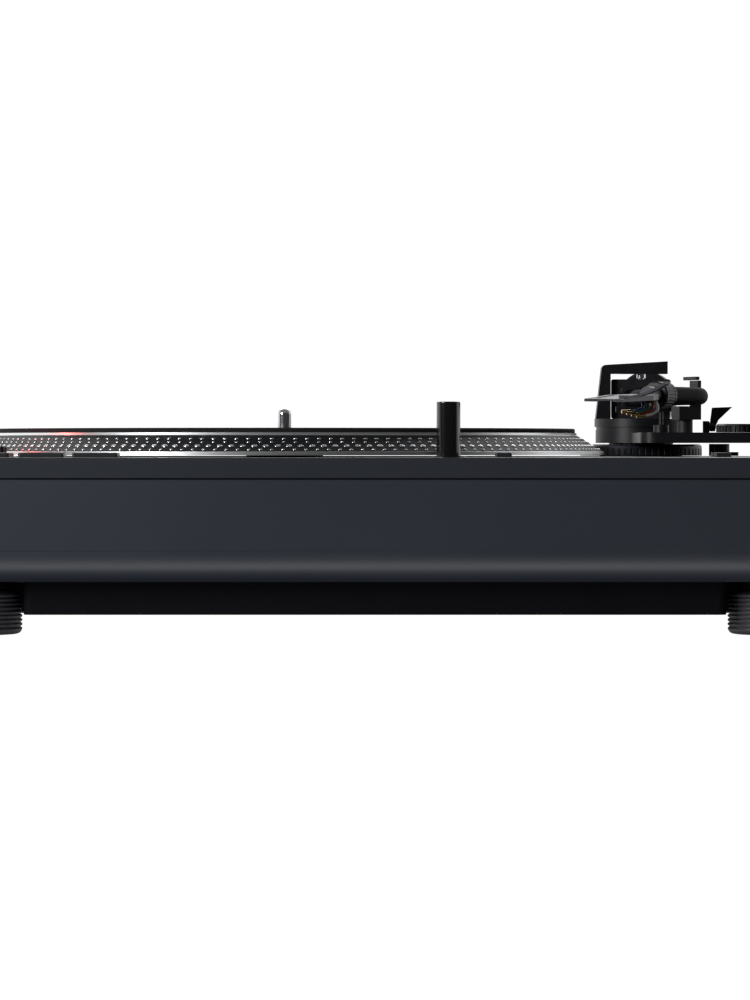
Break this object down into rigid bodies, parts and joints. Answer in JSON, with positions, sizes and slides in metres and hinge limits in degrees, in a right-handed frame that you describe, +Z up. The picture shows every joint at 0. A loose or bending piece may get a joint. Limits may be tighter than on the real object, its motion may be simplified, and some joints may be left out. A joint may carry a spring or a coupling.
{
  "type": "turntable record player",
  "caption": "Direct-drive record player: flat rectangular body on ribbed feet, heavy platter with strobe dots, S-shaped tonearm, pitch fader and speed buttons.",
  "frame": {"origin": "centre of the footprint, on the surface the feet stand on", "axes": "+X right, +Y back, +Z up; the controls and the start button face -Y"},
  "size_m": [0.453, 0.353, 0.1374],
  "materials": {
    "cabinet": "satin, fine moulded grain",
    "panel": "satin dark grey coat over a die casting",
    "base_rubber": "matt",
    "foot_rubber": "satin, ribbed",
    "screws": "blackened",
    "platter_metal": "dark turned, polished at lip and top edge",
    "mat": "matt",
    "polished_steel": "polished",
    "magnet": "sintered",
    "copper": "enamelled winding",
    "board": "laminate",
    "transformer": "lacquered laminations",
    "bearing": "machined",
    "black_plastic": "fine grain",
    "button": "satin dark grey",
    "black_gloss": "glossy",
    "red_lens": "tinted",
    "clear_lens": "clear",
    "arm_paint": "satin black",
    "arm_grey": "satin dark grey anodised",
    "wires": "coloured lead insulation",
    "adapter_metal": "turned",
    "gold": "plated"
  },
  "bodies": {
    "chassis": {"top_panel": "panel", "lower_cabinet": "cabinet", "base_cover": "base_rubber", "cabinet_screws": "screws", "foot_studs": "screws", "stator_plate": "board", "stator_coils": "copper", "bearing_housing": "bearing", "motor_board": "board", "power_board": "board", "transformer": "transformer", "control_board": "board", "rca_sockets": "gold", "ground_terminal": "polished_steel", "mains_inlet": "black_plastic", "terminal_panel": "black_plastic", "strobe_housing": "panel", "strobe_lens": "red_lens", "pitch_track": "black_plastic", "pitch_fader_body": "black_plastic", "lamp_sleeve": "black_gloss", "arm_base_ring": "arm_grey"},
    "platter_body": {"platter": "platter_metal", "platter_mat": "mat", "spindle": "polished_steel", "rotor_magnet": "magnet"},
    "lamp": {"target_lamp": "black_gloss", "target_lamp_lens": "clear_lens"},
    "arm_base": {"arm_base_plate": "arm_paint", "gimbal_yoke": "arm_paint", "pivot_screws": "polished_steel", "arm_rest": "black_plastic"},
    "headshell_body": {"headshell": "arm_grey", "finger_lift": "arm_grey", "headshell_wires": "wires"},
    "arm": {"arm_tube": "arm_paint"},
    "foot_front_left": {"foot_front_left": "foot_rubber"},
    "foot_front_right": {"foot_front_right": "foot_rubber"},
    "foot_back_left": {"foot_back_left": "foot_rubber"},
    "foot_back_right": {"foot_back_right": "foot_rubber"},
    "start_stop_button": {"start_stop_button": "button"},
    "speed_33_button": {"speed_33_button": "button"},
    "speed_45_button": {"speed_45_button": "button"},
    "pitch_reset_button": {"pitch_reset_button": "button"},
    "pitch_range_button": {"pitch_range_button": "button"},
    "lamp_release_button": {"lamp_release_button": "button"},
    "power_switch": {"power_switch": "button"},
    "pitch_knob": {"pitch_knob": "black_plastic"},
    "adapter_45": {"adapter_45": "adapter_metal"},
    "height_ring": {"height_ring": "arm_grey"},
    "lock_lever": {"lock_lever": "arm_paint"},
    "anti_skate_dial": {"anti_skate_dial": "arm_paint"},
    "cue_lever": {"cue_lever": "arm_paint"},
    "arm_lifter": {"arm_lifter": "arm_paint"},
    "arm_clip": {"arm_clip": "black_plastic"},
    "gimbal_ring": {"gimbal_ring": "arm_paint"},
    "headshell_collar": {"headshell_collar": "arm_paint"},
    "counterweight": {"counterweight": "arm_paint"},
    "tracking_dial": {"tracking_dial": "arm_paint"},
    "weight_bush": {"weight_bush": "black_plastic"}
  },
  "joints": [
    {"name": "platter_spin", "type": "hinge", "parent": "chassis", "child": "platter_body", "pos_m": [-0.047, 0, 0.09], "axis": [0, 0, 1], "continuous": true},
    {"name": "foot_turn_front_left", "type": "hinge", "parent": "chassis", "child": "foot_front_left", "pos_m": [-0.1965, -0.138, 0.01], "axis": [0, 0, 1], "continuous": true},
    {"name": "foot_turn_front_right", "type": "hinge", "parent": "chassis", "child": "foot_front_right", "pos_m": [0.1965, -0.138, 0.01], "axis": [0, 0, 1], "continuous": true},
    {"name": "foot_turn_back_left", "type": "hinge", "parent": "chassis", "child": "foot_back_left", "pos_m": [-0.1965, 0.138, 0.01], "axis": [0, 0, 1], "continuous": true},
    {"name": "foot_turn_back_right", "type": "hinge", "parent": "chassis", "child": "foot_back_right", "pos_m": [0.1965, 0.138, 0.01], "axis": [0, 0, 1], "continuous": true},
    {"name": "start_stop_press", "type": "slide", "parent": "chassis", "child": "start_stop_button", "axis": [0, 0, 1], "range_m": [-0.0015, 0], "stiffness_N_per_m": 250, "springref_m": 0.0015},
    {"name": "speed_33_press", "type": "slide", "parent": "chassis", "child": "speed_33_button", "axis": [0, 0, 1], "range_m": [-0.0015, 0], "stiffness_N_per_m": 250, "springref_m": 0.0015},
    {"name": "speed_45_press", "type": "slide", "parent": "chassis", "child": "speed_45_button", "axis": [0, 0, 1], "range_m": [-0.0015, 0], "stiffness_N_per_m": 250, "springref_m": 0.0015},
    {"name": "pitch_reset_press", "type": "slide", "parent": "chassis", "child": "pitch_reset_button", "axis": [0, 0, 1], "range_m": [-0.0015, 0], "stiffness_N_per_m": 250, "springref_m": 0.0015},
    {"name": "pitch_range_press", "type": "slide", "parent": "chassis", "child": "pitch_range_button", "axis": [0, 0, 1], "range_m": [-0.0015, 0], "stiffness_N_per_m": 250, "springref_m": 0.0015},
    {"name": "lamp_release_press", "type": "slide", "parent": "chassis", "child": "lamp_release_button", "axis": [0, 0, 1], "range_m": [-0.0015, 0], "stiffness_N_per_m": 250, "springref_m": 0.0015},
    {"name": "power_turn", "type": "hinge", "parent": "chassis", "child": "power_switch", "pos_m": [-0.202, -0.121, 0.089], "axis": [0, 0, 1], "range_deg": [0, 25]},
    {"name": "pitch_slide", "type": "slide", "parent": "chassis", "child": "pitch_knob", "axis": [0, 1, 0], "range_m": [-0.05, 0.05]},
    {"name": "lamp_pop", "type": "slide", "parent": "chassis", "child": "lamp", "axis": [0, 0, 1], "range_m": [-0.025, 0], "stiffness_N_per_m": 30, "springref_m": 0.015},
    {"name": "adapter_lift", "type": "slide", "parent": "chassis", "child": "adapter_45", "axis": [0, 0, 1], "range_m": [0, 0.04]},
    {"name": "height_turn", "type": "hinge", "parent": "chassis", "child": "height_ring", "pos_m": [0.1445, 0.0985, 0.089], "axis": [0, 0, 1], "range_deg": [0, 300]},
    {"name": "arm_height", "type": "slide", "parent": "chassis", "child": "arm_base", "axis": [0, 0, 1], "range_m": [0, 0.006]},
    {"name": "lock_turn", "type": "hinge", "parent": "chassis", "child": "lock_lever", "pos_m": [0.184, 0.062, 0.089], "axis": [0, 0, 1], "range_deg": [0, 40]},
    {"name": "anti_skate_turn", "type": "hinge", "parent": "arm_base", "child": "anti_skate_dial", "pos_m": [0.198, 0.045, 0.1], "axis": [0, 0, 1], "range_deg": [0, 270]},
    {"name": "cue_turn", "type": "hinge", "parent": "arm_base", "child": "cue_lever", "pos_m": [0.176, 0.008, 0.1015], "axis": [1, 0, 0], "range_deg": [0, 50]},
    {"name": "lifter_drop", "type": "slide", "parent": "arm_base", "child": "arm_lifter", "axis": [0, 0, 1], "range_m": [-0.004, 0]},
    {"name": "clip_turn", "type": "hinge", "parent": "arm_base", "child": "arm_clip", "pos_m": [0.16682, -0.00369, 0.1255], "axis": [0, 0, -1], "range_deg": [-90, 0]},
    {"name": "arm_swing", "type": "hinge", "parent": "arm_base", "child": "gimbal_ring", "pos_m": [0.1445, 0.0985, 0.117], "axis": [0, 0, 1], "range_deg": [-46, 0]},
    {"name": "arm_raise", "type": "hinge", "parent": "gimbal_ring", "child": "arm", "pos_m": [0.1445, 0.0985, 0.117], "axis": [-0.9903, 0.1392, 0], "range_deg": [0, 9]},
    {"name": "collar_turn", "type": "hinge", "parent": "arm", "child": "headshell_collar", "pos_m": [0.14, -0.0848, 0.117], "axis": [0.5, 0.866, 0], "range_deg": [0, 90]},
    {"name": "headshell_pull", "type": "slide", "parent": "arm", "child": "headshell_body", "axis": [-0.5, -0.866, 0], "range_m": [0, 0.012]},
    {"name": "bush_shift", "type": "slide", "parent": "arm", "child": "weight_bush", "axis": [0.1392, 0.9903, 0], "range_m": [-0.003, 0.003]},
    {"name": "weight_turn", "type": "hinge", "parent": "weight_bush", "child": "counterweight", "pos_m": [0.1445, 0.0985, 0.117], "axis": [0.1392, 0.9903, 0], "range_deg": [-530, 530]},
    {"name": "tracking_turn", "type": "hinge", "parent": "counterweight", "child": "tracking_dial", "pos_m": [0.1445, 0.0985, 0.117], "axis": [0.1392, 0.9903, 0], "range_deg": [-170, 170]}
  ],
  "couplings": [
    {"joint": "height_turn", "follows": "arm_height", "rad_per_m": 872.66},
    {"joint": "cue_turn", "follows": "lifter_drop", "rad_per_m": -218.17},
    {"joint": "weight_turn", "follows": "bush_shift", "rad_per_m": 3083.4}
  ]
}
